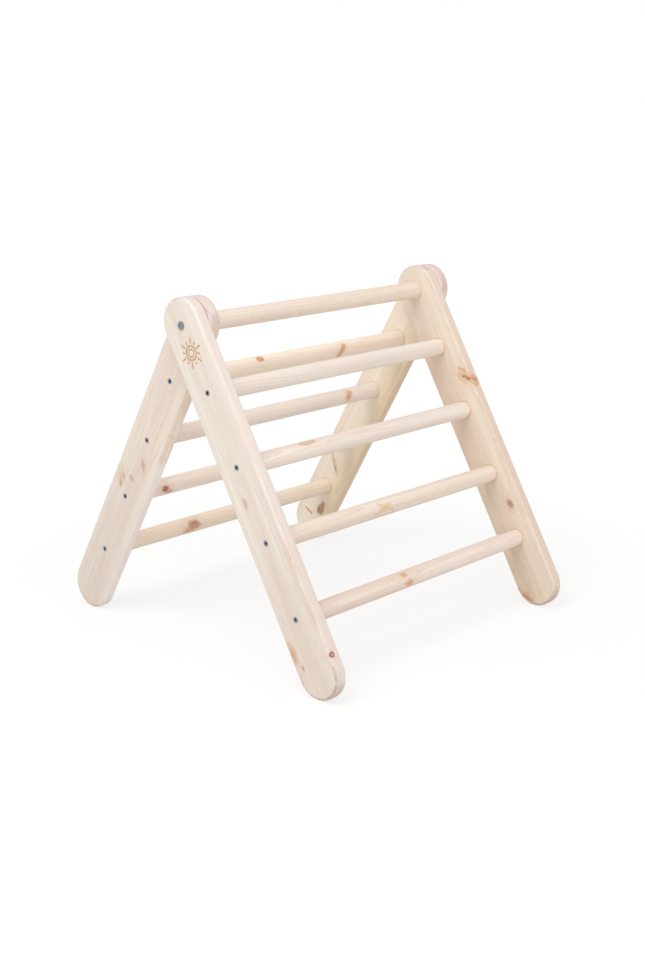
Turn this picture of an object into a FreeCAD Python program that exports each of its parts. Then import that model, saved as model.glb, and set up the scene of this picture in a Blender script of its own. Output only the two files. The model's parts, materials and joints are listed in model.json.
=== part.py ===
import FreeCAD, Part
import math
import os
from FreeCAD import Vector

# Folding wooden climbing triangle: two equal rung ladders hinged together at the top on two bolts.
#
# Frame: millimetres, +Z up. The origin is on the floor, centred under the pivot axis. X runs along
# the rungs, the front ladder's feet stand at -Y and the rear ladder's feet at +Y. Left is -X.
# The two ladders are the same, turned half a turn about Z. Each has one outer and one inner rail,
# so the rails lie side by side in pairs at the pivot: on the left the front rail is the outer one,
# on the right the rear rail is.
#
# Rails and fasteners are built in rail axes: x starts on the rail's outer face and points inward,
# z points up the rail, and the pivot is at zero.

# ---------------------------------------------------------------- frame and rails
WIDTH = 570.0            # over the outer faces of the outermost rails
RAIL_T = 20.0            # rail thickness
RAIL_W = 78.0            # rail width; both ends are full half rounds of this diameter
HEAD_RISE = 2.5          # centre of the upper half round above the pivot
PIVOT_TO_FOOT = 536.0    # pivot centre to the centre of the rounded foot
EDGE_R = 4.0             # round-over along every long edge of a rail
LEG_ANGLE = 30.0         # tilt of each ladder from the vertical, in degrees
SIDE_GAP = 0.8           # gap between two paired rails, filled by a washer at the pivot
OVERCUT = 1.0            # how far cutting tools run past a face

RAIL_R = RAIL_W / 2
PIVOT_Z = RAIL_R + PIVOT_TO_FOOT * math.cos(math.radians(LEG_ANGLE))
OUTER_RAIL_X = WIDTH / 2                         # outer face of an outer rail, from the centre
INNER_RAIL_X = OUTER_RAIL_X - RAIL_T - SIDE_GAP  # outer face of an inner rail, from the centre
GRIP = 2 * RAIL_T + SIDE_GAP                     # wood and washer under a bolt head

# ---------------------------------------------------------------- rungs
RUNG_D = 28.0
RUNG_AT = (106.0, 222.0, 338.0, 454.0)   # rung centres below the pivot, along the rail
RUNG_CHAMFER = 1.0
SOCKET_DEPTH = 8.0       # blind socket in a rail's inner face
SOCKET_CLEAR = 0.05      # radial clearance of a rung in its socket
PILOT_CLEAR = 0.02       # radial clearance of a screw in the rung
PILOT_EXTRA = 1.0        # pilot hole depth beyond the screw's tip

RUNG_LENGTH = OUTER_RAIL_X + INNER_RAIL_X - 2 * RAIL_T + 2 * SOCKET_DEPTH
TOP_RUNG_HALF = INNER_RAIL_X - RAIL_T    # the top rung fits between the inner rails

# ---------------------------------------------------------------- rung screws
SCREW_HEAD_D = 9.0       # countersunk head with a hexagon socket and a 45 degree cone
SCREW_SHANK_D = 5.0
SCREW_ROOT_D = 3.4
SCREW_LENGTH = 60.0
SCREW_SUNK = 0.2         # head top below the rail face
SCREW_RIM = 0.4          # height of the cylindrical rim above the cone
SCREW_SOCKET_AF = 4.0
SCREW_SOCKET_DEPTH = 2.4
SCREW_THREAD_FROM = 14.0   # end of the plain neck, from the rail face
SCREW_NECK_TAPER = 0.8     # length of the step from neck to thread root
SCREW_PITCH = 2.5
SCREW_FLANK = 0.6        # axial length of each thread flank
SCREW_CREST = 0.3        # axial width of the thread crest
SCREW_PLAIN_END = 2.0    # unthreaded length kept at the tip
SCREW_TIP = 1.0          # length of the tapered tip
SCREW_TIP_DROP = 0.8     # radius lost over the tip
HOLE_CLEAR = 0.05        # radial clearance of a screw shank in the rail
COUNTERSINK_CLEAR = 0.1  # radial clearance around the screw head

# ---------------------------------------------------------------- pivot bolts and washers
BOLT_D = 6.0             # M6 hexagon bolt with a low head
BOLT_MINOR_D = 4.9
BOLT_PITCH = 1.0
BOLT_LENGTH = 65.0       # below the head
BOLT_HEAD_AF = 10.0
BOLT_HEAD_H = 2.2
BOLT_HEAD_TURN = -14.0   # turn of the head about X, in degrees
BOLT_BEVEL_ANGLE = 30.0  # slope of the bevel on the head's corners, in degrees
BOLT_BEVEL_INSET = 0.3   # bevel starts this far inside the flats
BOLT_BEVEL_OUTSET = 0.3  # and its cone runs this far past the corners
BOLT_HEAD_OVERLAP = 1.0  # shank length buried in the head
BOLT_PLAIN_END = 1.2     # unthreaded length kept at the tip
BOLT_RUNOUT = 0.5        # from the last crest down to the minor diameter
BOLT_TIP_DROP = 0.4      # radius lost towards the tip
BOLT_HOLE_CLEAR = 0.08   # radial running clearance of the bolt in the rails
WASHER_D = 18.0
WASHER_HOLE_D = 6.4

# ---------------------------------------------------------------- threaded inserts in the top rung
INSERT_D = 10.0
INSERT_ROOT_D = 8.4
INSERT_LENGTH = 25.0
INSERT_COLLAR = 1.2      # full-diameter length at the mouth
INSERT_PITCH = 3.5
INSERT_FLANK = 0.7       # axial length of each outer thread flank
INSERT_CREST = 0.5       # axial width of the outer thread crest
INSERT_PLAIN_END = 1.0   # unthreaded length kept outside at the far end
INSERT_CLEAR = 0.02      # radial clearance of the insert in the rung
THREAD_CLEAR = 0.05      # radial clearance between the bolt's and the insert's threads
THREAD_X = GRIP + 1.2    # first bolt thread crest, just inside the insert's mouth
RELIEF_CLEAR = 0.5       # radial clearance of the bore around the bolt's tip
RELIEF_EXTRA = 4.0       # depth of that bore beyond the insert


# ---------------------------------------------------------------- helpers
def revolve(points):
    """A solid of revolution about X from the (x, radius) points of a closed outline."""
    corners = [Vector(x, 0, radius) for x, radius in points]
    solid = Part.Face(Part.makePolygon(corners + corners[:1])).revolve(
        Vector(0, 0, 0), Vector(1, 0, 0), 360)
    # The sense of the outline decides which way the solid faces.
    if solid.Volume < 0:
        solid.reverse()
    return solid


def rod(radius, start, end):
    return Part.makeCylinder(radius, end - start, Vector(start, 0, 0), Vector(1, 0, 0))


def chamfered_rod(start, end):
    """A rung's dowel, chamfered at both ends."""
    radius, chamfer = RUNG_D / 2, RUNG_CHAMFER
    return revolve([
        (start, 0), (start, radius - chamfer), (start + chamfer, radius),
        (end - chamfer, radius), (end, radius - chamfer), (end, 0),
    ])


def hexagon(across_flats, start, end):
    """A hexagonal prism along X with two corners on the Y axis."""
    radius = across_flats / math.sqrt(3)
    angles = [math.radians(60 * k) for k in range(7)]
    corners = [Vector(start, radius * math.cos(a), radius * math.sin(a)) for a in angles]
    return Part.Face(Part.makePolygon(corners)).extrude(Vector(end - start, 0, 0))


def repeat_ring(start, limit, ring):
    """Repeats a thread ring's (x offset, radius) points while whole rings fit before the limit.

    The ring's last offset is the pitch.
    """
    pitch = ring[-1][0]
    count = int((limit - start) / pitch)
    return [(start + k * pitch + x, radius) for k in range(count) for x, radius in ring]


def machine_thread(limit, clearance=0.0):
    """(x, radius) points of the thread shared by bolt and insert, from its first crest."""
    crest = BOLT_D / 2 + clearance
    root = BOLT_MINOR_D / 2 + clearance
    ring = [(BOLT_PITCH / 2, root), (BOLT_PITCH, crest)]
    return [(THREAD_X, crest)] + repeat_ring(THREAD_X, limit, ring)


def place(shape, side, start_x, tilt, below=0.0):
    """Moves a copy of a shape from rail axes into the assembly.

    side is -1 on the left and +1 on the right, start_x is the distance of the shape's x = 0 from
    the centre, tilt is in degrees about X, and below is the distance down the rail.
    """
    placed = shape.copy()
    placed.translate(Vector(0, 0, -below))
    if side > 0:
        placed.rotate(Vector(0, 0, 0), Vector(0, 0, 1), 180)
    placed.rotate(Vector(0, 0, 0), Vector(1, 0, 0), tilt)
    placed.translate(Vector(side * start_x, 0, PIVOT_Z))
    return placed


# ---------------------------------------------------------------- wooden parts
def screw_hole():
    """Countersunk clearance hole for one screw, from the rail's outer face."""
    rim = SCREW_HEAD_D / 2 + COUNTERSINK_CLEAR
    shank = SCREW_SHANK_D / 2 + HOLE_CLEAR
    cone_start = SCREW_SUNK + SCREW_RIM - COUNTERSINK_CLEAR
    end = RAIL_T + OVERCUT
    return revolve([
        (-OVERCUT, 0), (-OVERCUT, rim), (cone_start, rim),
        (cone_start + rim - shank, shank), (end, shank), (end, 0),
    ])


def make_rail():
    """Board with full-round ends, rounded long edges, a pivot hole and four rung joints."""
    low, high = -PIVOT_TO_FOOT, HEAD_RISE
    outline = Part.Wire([
        Part.LineSegment(Vector(0, -RAIL_R, low), Vector(0, -RAIL_R, high)).toShape(),
        Part.Arc(Vector(0, -RAIL_R, high), Vector(0, 0, high + RAIL_R),
                 Vector(0, RAIL_R, high)).toShape(),
        Part.LineSegment(Vector(0, RAIL_R, high), Vector(0, RAIL_R, low)).toShape(),
        Part.Arc(Vector(0, RAIL_R, low), Vector(0, 0, low - RAIL_R),
                 Vector(0, -RAIL_R, low)).toShape(),
    ])
    board = Part.Face(outline).extrude(Vector(RAIL_T, 0, 0))
    # Edges with no extent in X are the outlines of the two faces.
    board = board.makeFillet(EDGE_R, [e for e in board.Edges if e.BoundBox.XLength < 1e-6])
    board = board.cut(rod(BOLT_D / 2 + BOLT_HOLE_CLEAR, -OVERCUT, RAIL_T + OVERCUT))
    socket = rod(RUNG_D / 2 + SOCKET_CLEAR, RAIL_T - SOCKET_DEPTH, RAIL_T + OVERCUT)
    hole = screw_hole()
    for below in RUNG_AT:
        for tool in (socket, hole):
            board = board.cut(tool.translated(Vector(0, 0, -below)))
    return board


def make_rung():
    """One ladder rung with a pilot hole in each end, from its -X end at x = 0."""
    body = chamfered_rod(0, RUNG_LENGTH)
    radius = SCREW_SHANK_D / 2 + PILOT_CLEAR
    depth = SCREW_LENGTH + SCREW_SUNK - (RAIL_T - SOCKET_DEPTH) + PILOT_EXTRA
    body = body.cut(rod(radius, -OVERCUT, depth))
    return body.cut(rod(radius, RUNG_LENGTH - depth, RUNG_LENGTH + OVERCUT))


def make_top_rung():
    """The rung on the pivot axis, bored at each end for an insert and the bolt's tip."""
    start = -TOP_RUNG_HALF
    insert_end = start + INSERT_LENGTH
    body = chamfered_rod(start, TOP_RUNG_HALF)
    bore = rod(INSERT_D / 2 + INSERT_CLEAR, start - OVERCUT, insert_end)
    relief = rod(BOLT_D / 2 + RELIEF_CLEAR, start, insert_end + RELIEF_EXTRA)
    for tool in (bore, relief):
        body = body.cut(tool)
        tool.rotate(Vector(0, 0, 0), Vector(0, 0, 1), 180)
        body = body.cut(tool)
    body.translate(Vector(0, 0, PIVOT_Z))
    return body


# ---------------------------------------------------------------- fasteners
def make_screw():
    """Countersunk screw with a hexagon socket, a plain neck and a ringed coarse thread."""
    head, shank, root = SCREW_HEAD_D / 2, SCREW_SHANK_D / 2, SCREW_ROOT_D / 2
    cone_start = SCREW_SUNK + SCREW_RIM
    thread_start = SCREW_THREAD_FROM + SCREW_NECK_TAPER
    end = SCREW_SUNK + SCREW_LENGTH
    ring = [
        (SCREW_PITCH - 2 * SCREW_FLANK - SCREW_CREST, root),
        (SCREW_PITCH - SCREW_FLANK - SCREW_CREST, shank),
        (SCREW_PITCH - SCREW_FLANK, shank),
        (SCREW_PITCH, root),
    ]
    screw = revolve([
        (SCREW_SUNK, 0), (SCREW_SUNK, head), (cone_start, head),
        (cone_start + head - shank, shank), (SCREW_THREAD_FROM, shank), (thread_start, root),
        *repeat_ring(thread_start, end - SCREW_PLAIN_END, ring),
        (end - SCREW_TIP, root), (end, root - SCREW_TIP_DROP), (end, 0),
    ])
    socket = hexagon(SCREW_SOCKET_AF, SCREW_SUNK - OVERCUT, SCREW_SUNK + SCREW_SOCKET_DEPTH)
    return screw.cut(socket)


def make_bolt():
    """Hexagon head bolt; the head stands proud of the rail's outer face at x = 0."""
    crown = BOLT_HEAD_AF / 2 - BOLT_BEVEL_INSET
    rim = BOLT_HEAD_AF / math.sqrt(3) + BOLT_BEVEL_OUTSET
    bevel = (rim - crown) * math.tan(math.radians(BOLT_BEVEL_ANGLE))
    head = hexagon(BOLT_HEAD_AF, -BOLT_HEAD_H, 0).common(revolve([
        (-BOLT_HEAD_H, 0), (-BOLT_HEAD_H, crown), (-BOLT_HEAD_H + bevel, rim), (0, rim), (0, 0),
    ]))
    minor = BOLT_MINOR_D / 2
    thread = machine_thread(BOLT_LENGTH - BOLT_PLAIN_END)
    shank = revolve([
        (-BOLT_HEAD_OVERLAP, 0), (-BOLT_HEAD_OVERLAP, BOLT_D / 2),
        *thread,
        (thread[-1][0] + BOLT_RUNOUT, minor),
        (BOLT_LENGTH, minor - BOLT_TIP_DROP), (BOLT_LENGTH, 0),
    ])
    return head.fuse(shank).removeSplitter()


def make_insert():
    """Insert with a coarse ringed outside and a bore whose rings match the bolt's thread."""
    end = GRIP + INSERT_LENGTH
    crest, root = INSERT_D / 2, INSERT_ROOT_D / 2
    ring = [
        (INSERT_FLANK, root),
        (INSERT_PITCH - INSERT_CREST - INSERT_FLANK, root),
        (INSERT_PITCH - INSERT_CREST, crest),
        (INSERT_PITCH, crest),
    ]
    thread_start = GRIP + INSERT_COLLAR
    outer = [(GRIP, crest), (thread_start, crest)]
    outer += repeat_ring(thread_start, end - INSERT_PLAIN_END, ring)
    outer += [(outer[-1][0] + INSERT_FLANK, root), (end, root)]
    thread = machine_thread(end, THREAD_CLEAR)
    inner = [(GRIP, thread[0][1])] + thread + [(end, thread[-1][1])]
    return revolve(outer + inner[::-1])


def make_washer():
    """Thin spacer washer between two paired rails."""
    end = RAIL_T + SIDE_GAP
    hole = rod(WASHER_HOLE_D / 2, RAIL_T - OVERCUT, end + OVERCUT)
    return rod(WASHER_D / 2, RAIL_T, end).cut(hole)


# ---------------------------------------------------------------- assembly
SIDES = {"left": -1, "right": 1}
# Ladder name, tilt, side of its outer rail
LADDERS = (("front", -LEG_ANGLE, SIDES["left"]), ("rear", LEG_ANGLE, SIDES["right"]))

nodes = {"top_rung": make_top_rung()}

rail, screw, rung = make_rail(), make_screw(), make_rung()
for ladder, tilt, outer_side in LADDERS:
    for side_name, side in SIDES.items():
        face_x = OUTER_RAIL_X if side == outer_side else INNER_RAIL_X
        name = f"{ladder}_{side_name}"
        nodes[name + "_rail"] = place(rail, side, face_x, tilt)
        nodes[name + "_screws"] = Part.makeCompound(
            [place(screw, side, face_x, tilt, below) for below in RUNG_AT])

    # Rungs start at the bottom of the left rail's sockets.
    left_face_x = OUTER_RAIL_X if outer_side == SIDES["left"] else INNER_RAIL_X
    rung_start = left_face_x - RAIL_T + SOCKET_DEPTH
    for number, below in enumerate(RUNG_AT, 1):
        nodes[f"{ladder}_rung_{number}"] = place(rung, SIDES["left"], rung_start, tilt, below)

bolt, insert, washer = make_bolt(), make_insert(), make_washer()
for side_name, side in SIDES.items():
    nodes["pivot_bolt_" + side_name] = place(bolt, side, OUTER_RAIL_X, BOLT_HEAD_TURN)
    nodes["threaded_insert_" + side_name] = place(insert, side, OUTER_RAIL_X, 0)
    nodes["spacer_washer_" + side_name] = place(washer, side, OUTER_RAIL_X, 0)

os.makedirs("parts", exist_ok=True)
for name, shape in nodes.items():
    shape.exportStep(os.path.join("parts", name + ".step"))
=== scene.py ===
# A folding pine A-frame: two ladders hinged at their shared top rung, each with two rails and
# four rungs. x runs across the ladders with left at -x, the front ladder's feet are at -y and
# z is up. Lengths are in mm unless noted; meshes, lights and camera are in metres.
import json
import math
from typing import NamedTuple

import bmesh
import bpy
from mathutils import Matrix, Vector, noise


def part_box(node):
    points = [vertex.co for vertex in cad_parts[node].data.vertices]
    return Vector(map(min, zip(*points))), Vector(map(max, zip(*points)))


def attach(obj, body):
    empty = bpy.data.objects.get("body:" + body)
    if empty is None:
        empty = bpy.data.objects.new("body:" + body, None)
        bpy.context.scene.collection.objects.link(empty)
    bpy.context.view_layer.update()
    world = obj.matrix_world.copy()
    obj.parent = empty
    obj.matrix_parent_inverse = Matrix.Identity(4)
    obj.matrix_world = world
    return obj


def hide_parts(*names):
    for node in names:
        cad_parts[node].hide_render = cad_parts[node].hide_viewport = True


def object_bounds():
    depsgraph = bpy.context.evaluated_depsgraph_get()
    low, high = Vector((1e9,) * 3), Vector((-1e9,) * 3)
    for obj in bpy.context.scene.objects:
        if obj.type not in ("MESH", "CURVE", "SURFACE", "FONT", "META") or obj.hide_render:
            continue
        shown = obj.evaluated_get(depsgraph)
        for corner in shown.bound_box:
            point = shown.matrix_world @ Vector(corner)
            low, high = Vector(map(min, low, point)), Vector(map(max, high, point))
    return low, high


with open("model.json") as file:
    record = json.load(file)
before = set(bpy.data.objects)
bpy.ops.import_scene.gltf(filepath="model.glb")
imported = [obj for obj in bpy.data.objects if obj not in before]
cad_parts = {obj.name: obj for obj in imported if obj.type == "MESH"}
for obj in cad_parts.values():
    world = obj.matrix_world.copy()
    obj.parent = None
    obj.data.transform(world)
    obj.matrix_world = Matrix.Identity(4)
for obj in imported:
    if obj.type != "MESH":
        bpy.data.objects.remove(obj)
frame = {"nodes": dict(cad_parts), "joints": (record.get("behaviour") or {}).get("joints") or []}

cad_lo, cad_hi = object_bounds()
scene = bpy.context.scene

# ---------------------------------------------------------------- sizes
outer_rail_low, outer_rail_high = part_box("rear_right_rail")
PIVOT_Z = frame["joints"][0]["pos_m"][2] * 1000.0
OUTER_X = outer_rail_high.x * 1000.0                    # outer face of the outer rails
INNER_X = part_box("front_right_rail")[1].x * 1000.0      # outer face of the inner rails
RAIL_T = (outer_rail_high.x - outer_rail_low.x) * 1000.0
HALF_T = RAIL_T / 2.0
OUTER_MID = 275.0       # middle of the outer rails in x
INNER_MID = 254.2       # middle of the inner rails in x
RAIL_R = 39.0           # half the rail's width and the radius of its round ends
EDGE_R = 4.0            # rounding of the long edges
TILT_DEGREES = 30.0
TILT = {"front": -TILT_DEGREES, "rear": TILT_DEGREES}

# Along a rail, z is measured from the pivot: centres of the round head and the round foot.
HEAD_Z = 2.5
FOOT_Z = -(PIVOT_Z - RAIL_R) / math.cos(math.radians(TILT_DEGREES))

RUNG_R = 14.0
FIRST_RUNG = 106.0      # from the pivot down the rail
RUNG_PITCH = 116.0
RUNG_DROPS = [FIRST_RUNG + RUNG_PITCH * i for i in range(4)]
SOCKET_DEPTH = 8.0


# ---------------------------------------------------------------- shader node helpers
def srgb(*channels):
    """sRGB 0..255 to a linear colour."""
    linear = []
    for value in channels:
        value = value / 255.0
        linear.append(value / 12.92 if value <= 0.04045 else ((value + 0.055) / 1.055) ** 2.4)
    return (*linear, 1.0)


def operator(kind, swapped=False):
    """An operator method that adds a Math node."""
    def method(self, other):
        pair = (other, self) if swapped else (self, other)
        return self.net.math(kind, *pair)
    return method


class Output:
    """A node output, with arithmetic that adds Math nodes."""

    def __init__(self, net, socket):
        self.net = net
        self.socket = socket

    __add__ = operator("ADD")
    __radd__ = operator("ADD", swapped=True)
    __sub__ = operator("SUBTRACT")
    __rsub__ = operator("SUBTRACT", swapped=True)
    __mul__ = operator("MULTIPLY")
    __rmul__ = operator("MULTIPLY", swapped=True)
    __truediv__ = operator("DIVIDE")
    __pow__ = operator("POWER")


class Graph:
    """A node tree with a method for each kind of node."""

    def __init__(self, tree):
        self.tree = tree

    def put(self, socket, value):
        if isinstance(value, Output):
            self.tree.links.new(value.socket, socket)
        elif value is not None:
            socket.default_value = value

    def node(self, kind, inputs=(), **settings):
        """Adds a node; inputs is a sequence, or a dict by socket name or index."""
        node = self.tree.nodes.new(kind)
        for name, value in settings.items():
            setattr(node, name, value)
        for key, value in inputs.items() if isinstance(inputs, dict) else enumerate(inputs):
            self.put(node.inputs[key], value)
        return node

    def output(self, key, kind, inputs=(), **settings):
        """Adds a node and returns one of its outputs."""
        return Output(self, self.node(kind, inputs, **settings).outputs[key])

    def math(self, operation, first, second=None, clamp=False):
        return self.output(0, "ShaderNodeMath", (first, second),
                           operation=operation, use_clamp=clamp)

    def vmath(self, operation, *vectors):
        key = "Value" if operation in ("LENGTH", "DOT_PRODUCT") else "Vector"
        return self.output(key, "ShaderNodeVectorMath", vectors, operation=operation)

    def scaled(self, vector, scale):
        return self.output("Vector", "ShaderNodeVectorMath", {0: vector, "Scale": scale},
                           operation="SCALE")

    def smooth(self, start, end, value, low=0.0, high=1.0):
        """Smooth step from low at start to high at end, which may be below start."""
        if end < start:
            start, end, low, high = end, start, high, low
        return self.output(
            "Result", "ShaderNodeMapRange",
            {"Value": value, "From Min": start, "From Max": end, "To Min": low, "To Max": high},
            interpolation_type="SMOOTHSTEP")

    def vec(self, x, y, z):
        return self.output(0, "ShaderNodeCombineXYZ", (x, y, z))

    def split(self, vector):
        node = self.node("ShaderNodeSeparateXYZ", (vector,))
        return [Output(self, socket) for socket in node.outputs]

    def noise(self, vector, detail=2.0, rough=0.5):
        return self.output(
            0, "ShaderNodeTexNoise",
            {"Vector": vector, "Scale": 1.0, "Detail": detail, "Roughness": rough},
            noise_dimensions="3D")

    def noise_mm(self, point, size, offset=(0.0, 0.0, 0.0), detail=2.0, rough=0.5):
        """Noise with a feature size in mm for each axis."""
        scale = tuple(1.0 / length for length in size)
        return self.noise(self.vmath("MULTIPLY_ADD", point, scale, offset), detail, rough)

    def mix(self, factor, base, over, mode="MIX"):
        return self.output(0 if mode is None else 2, "ShaderNodeMix",
                           {0: factor, 6: base, 7: over},
                           data_type="RGBA", blend_type=mode, clamp_factor=True)

    def multiply(self, colour, tint):
        return self.mix(1.0, colour, tint, "MULTIPLY")

    def tinted(self, factor, colour, tint):
        return self.mix(factor, colour, self.multiply(colour, tint))

    def gradient(self, value, start, end, low_tint, high_tint):
        return self.mix(self.smooth(start, end, value), (*low_tint, 1.0), (*high_tint, 1.0))

    def grey(self, value):
        return self.output(0, "ShaderNodeCombineColor", (value,) * 3)

    def mix_shader(self, factor, first, second):
        return self.output(0, "ShaderNodeMixShader", (factor, first, second))

    def call(self, group, **values):
        """Puts a node group in and returns its outputs by name."""
        node = self.node("ShaderNodeGroup", values, node_tree=group)
        return {socket.name: Output(self, socket) for socket in node.outputs}


class Material(Graph):
    def __init__(self, name):
        self.material = bpy.data.materials.new(name)
        self.material.use_nodes = True
        super().__init__(self.material.node_tree)
        self.tree.nodes.clear()
        self.end_node = self.node("ShaderNodeOutputMaterial")
        self.bsdf = self.node("ShaderNodeBsdfPrincipled")
        self.put(self.end_node.inputs["Surface"], Output(self, self.bsdf.outputs["BSDF"]))
        self.coordinates = self.node("ShaderNodeTexCoord")

    def point(self, rotation=(0.0, 0.0, 0.0), location=(0.0, 0.0, 0.0)):
        """Object coordinates turned, in mm, then moved."""
        place = Output(self, self.coordinates.outputs["Object"])
        return self.output(
            0, "ShaderNodeMapping",
            {"Vector": place, "Scale": (1000.0,) * 3, "Rotation": rotation,
             "Location": location},
            vector_type="POINT")

    def normal(self, rotation=(0.0, 0.0, 0.0)):
        """The surface normal, turned."""
        facing = Output(self, self.coordinates.outputs["Normal"])
        return self.output(0, "ShaderNodeMapping", {"Vector": facing, "Rotation": rotation},
                           vector_type="NORMAL")

    def surface(self, values):
        """Sets Principled inputs from a dict."""
        for key, value in values.items():
            self.put(self.bsdf.inputs[key], value)

    def bump(self, height, strength, distance):
        self.surface({"Normal": self.output(
            "Normal", "ShaderNodeBump",
            {"Strength": strength, "Distance": distance, "Height": height})})


FLOAT, VECTOR, COLOUR = "NodeSocketFloat", "NodeSocketVector", "NodeSocketColor"


def make_group(name, inputs, outputs, build):
    """A node group: inputs and outputs are {name: type}; build returns the outputs by name."""
    tree = bpy.data.node_groups.new(name, "ShaderNodeTree")
    for direction, sockets in (("INPUT", inputs), ("OUTPUT", outputs)):
        for key, kind in sockets.items():
            tree.interface.new_socket(key, in_out=direction, socket_type=kind)
    net = Graph(tree)
    start = net.node("NodeGroupInput")
    end = net.node("NodeGroupOutput")
    made = build(net, {key: Output(net, start.outputs[key]) for key in inputs})
    for key, value in made.items():
        net.put(end.inputs[key], value)
    return tree


# ---------------------------------------------------------------- pine: the node groups
def build_grain(net, ins):
    """The body of the wood. P is in mm in the piece's own axes, with z along the grain."""
    point, seed, push = ins["P"], ins["Seed"], ins["Push"]
    end, contrast, pinkness = ins["End"], ins["Contrast"], ins["Pinkness"]
    x, y, z = net.split(point)

    def field(size, offset, detail=2.0, rough=0.5):
        start = net.vec(seed + offset, seed * 0.6 + offset * 1.7, seed * 0.37)
        return net.noise_mm(point, size, start, detail, rough)

    # Yearly rings round the pith, wandering a little; late wood is the dark end of each ring.
    wander = (field((60, 60, 260), 3.1, 1.0) - 0.5) * 13.0
    wander = wander + (field((15, 15, 70), 7.7, 2.0) - 0.5) * 2.4
    from_x = x - ins["Pith A"]
    from_y = y - ins["Pith B"]
    radius = net.math("SQRT", from_x * from_x + from_y * from_y) + z * ins["Taper"]
    radius = radius + wander + push
    year = radius / ins["Spacing"] + (field((30, 30, 700), 12.3, 1.0) - 0.5) * 2.6
    part = net.math("FRACT", year)
    late = (part ** 3.0) * (1.0 - (part ** 22.0))
    # Each year's ring has its own strength.
    cycle = net.noise(net.vec(net.math("FLOOR", year) * 0.731 + seed, 0.5, 0.5), 0.0)
    late = late * net.smooth(0.25, 0.75, cycle, 0.25, 1.3)

    broad = field((14, 14, 380), 21.9, 2.0)
    mid = field((2.1, 2.1, 120), 33.3, 3.0, 0.6)
    thin = field((0.95, 0.95, 60), 47.1, 2.0, 0.6)
    fine = field((0.5, 0.5, 22), 41.7, 2.0, 0.6)
    fleck = field((0.8, 0.8, 7), 55.1, 1.0)

    pinkish = net.smooth(0.30, 0.70, broad, pinkness - 0.30, pinkness + 0.30)
    col = net.mix(pinkish, srgb(242, 232, 217), srgb(234, 214, 201))
    # A plainer, browner band where the face is cut flat to the rings.
    off_band = net.math("ABSOLUTE", y - ins["Band B"] + wander * 1.3) - ins["Band Half"]
    inside = net.smooth(7.0, -7.0, off_band)
    patches = net.smooth(0.3, 0.7, field((30, 30, 200), 70.0, 1.0), 0.6, 1.0)
    col = net.mix(inside * (ins["Band"] * patches), col, srgb(229, 208, 190))
    # Creamy early wood between the lines.
    cream = net.smooth(0.52, 0.70, field((3.4, 3.4, 300), 28.4, 2.0, 0.6))
    col = net.mix(cream * 0.55, col, srgb(243, 235, 216))
    amount = late * (end * 0.55 + 0.56 * contrast) * net.smooth(0.2, 0.8, mid, 0.6, 1.2)
    col = net.mix(net.math("MULTIPLY", amount, 1.0, clamp=True), col, srgb(217, 190, 167))
    # Thin resin-yellow streaks where a ring runs out at a shallow angle.
    resin = net.smooth(0.63, 0.73, field((2.6, 2.6, 240), 61.0, 2.0))
    resin = resin * net.smooth(0.2, 0.7, late, 0.35, 1.0)
    col = net.mix(resin * (contrast * 0.38), col, srgb(214, 186, 142))

    shade = (mid - 0.5) * (contrast * 0.11) + (thin - 0.5) * (contrast * 0.11)
    shade = shade + (fine - 0.5) * 0.06 + 1.0
    # Short darker pores, seen only close to.
    shade = shade - net.smooth(0.68, 0.80, fleck) * 0.05
    col = net.multiply(col, net.grey(shade))

    # End grain: greyer, with the rings close and sharp and fine rays across them.
    ray = net.noise_mm(point, (1.1, 1.1, 40.0), net.vec(seed, 0.0, 3.0), 3.0, 0.7)
    half_part = net.math("FRACT", year * 2.0)
    end_late = net.math("MAXIMUM",
                        net.smooth(0.45, 0.95, part) * net.smooth(1.0, 0.96, part),
                        net.smooth(0.5, 0.95, half_part) * 0.55)
    end_col = net.mix(end_late, srgb(236, 224, 218), srgb(190, 154, 140))
    end_col = net.mix(net.smooth(0.45, 0.7, ray) * 0.5, end_col, srgb(246, 240, 236))
    # Bands of paler and pinker wood across the end, parallel to the faces.
    band = net.noise_mm(point, (2.4, 60.0, 60.0), net.vec(seed, 5.0, 1.0), 1.0)
    paler = net.smooth(0.50, 0.62, band) * (ins["Bands"] * 0.65)
    end_col = net.mix(paler, end_col, srgb(250, 245, 242))
    pinker = net.smooth(0.50, 0.36, band) * (ins["Bands"] * 0.40)
    end_col = net.mix(pinker, end_col, srgb(206, 168, 156))

    return {
        "Color": net.mix(end * 0.9, col, end_col),
        "Roughness": late * -0.07 + (fine - 0.5) * 0.16 + end * 0.14 + 0.56,
        "Height": fine * 0.45 + thin * 0.35 + mid * 0.35,
        "Wobble": field((7, 7, 45), 83.0, 2.0),
        "Dash": field((2.6, 2.6, 12), 97.0, 2.0)}


grain_group = make_group(
    "pine grain",
    {"P": VECTOR, **dict.fromkeys(
        ("Seed", "Push", "End", "Bands", "Pith A", "Pith B", "Spacing", "Taper", "Pinkness",
         "Contrast", "Band B", "Band Half", "Band"), FLOAT)},
    {"Color": COLOUR, **dict.fromkeys(("Roughness", "Height", "Wobble", "Dash"), FLOAT)},
    build_grain)


def branch_distance(net, ins):
    """The vector from the branch's place, and the distance from the branch in its radii."""
    away = net.vmath("SUBTRACT", ins["P"], ins["At"])
    along = net.vmath("DOT_PRODUCT", away, ins["Branch"])
    x, y, z = net.split(net.vmath("SUBTRACT", away, net.scaled(ins["Branch"], along)))
    z = net.math("MAXIMUM", z, 0.0) / ins["Up"] + net.math("MINIMUM", z, 0.0) / ins["Down"]
    rho = net.vmath("LENGTH", net.vec(x, y, z)) / ins["Radius"]
    past_reach = net.smooth(0.7, 1.3, net.math("ABSOLUTE", along) / ins["Reach"])
    return away, rho + past_reach * 3.0


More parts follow.
